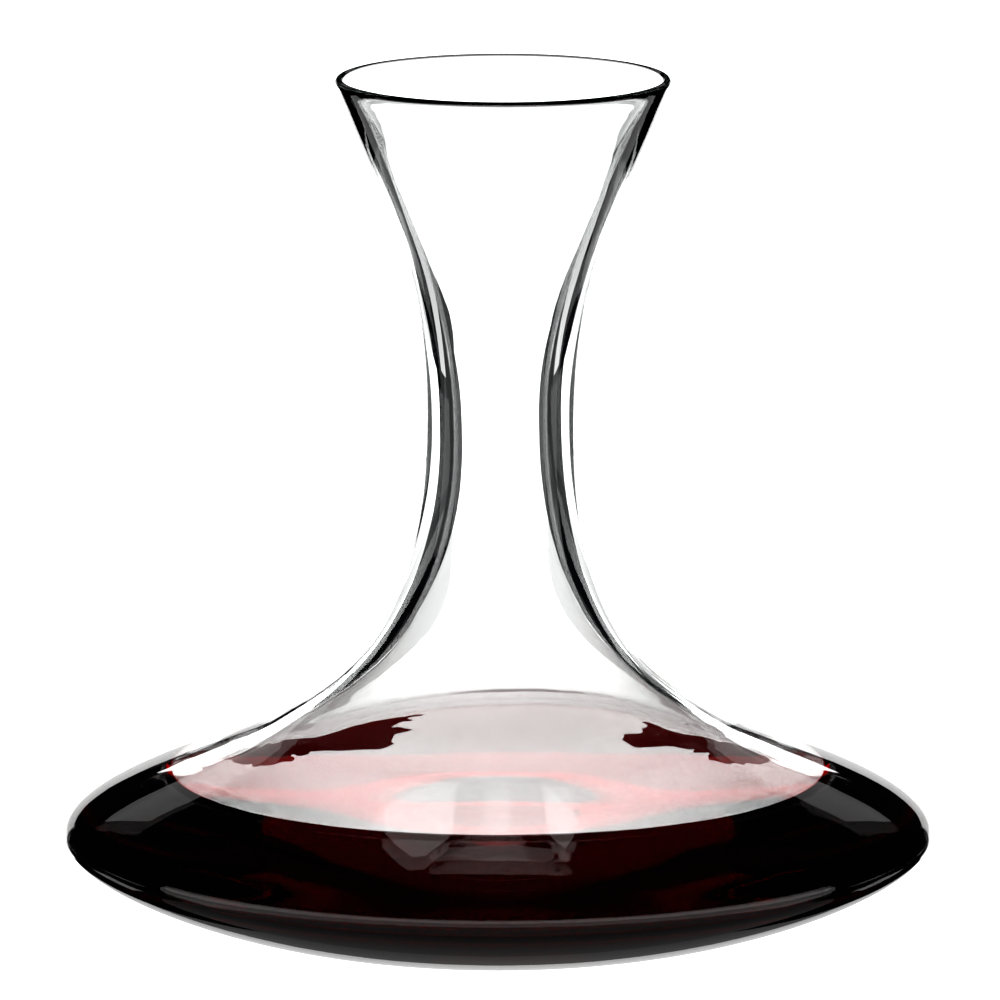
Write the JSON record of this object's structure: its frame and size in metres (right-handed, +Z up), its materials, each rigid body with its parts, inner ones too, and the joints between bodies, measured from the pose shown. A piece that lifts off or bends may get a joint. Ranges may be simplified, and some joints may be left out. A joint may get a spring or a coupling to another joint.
{
  "type": "wine decanter",
  "caption": "Glass wine decanter with a wide low bowl, a narrow neck and a flared lip, holding red wine.",
  "frame": {"origin": "centre of the foot, on the table", "axes": "+Z up along the vessel's axis, through the middle of the neck and the mouth; X and Y are interchangeable"},
  "size_m": [0.2044, 0.2044, 0.2029],
  "materials": {
    "glass": "clear, fire-polished, smooth",
    "wine": "clear dark red liquid, still surface"
  },
  "bodies": {
    "root": {"glass_vessel": "glass", "red_wine": "wine"}
  },
  "joints": []
}
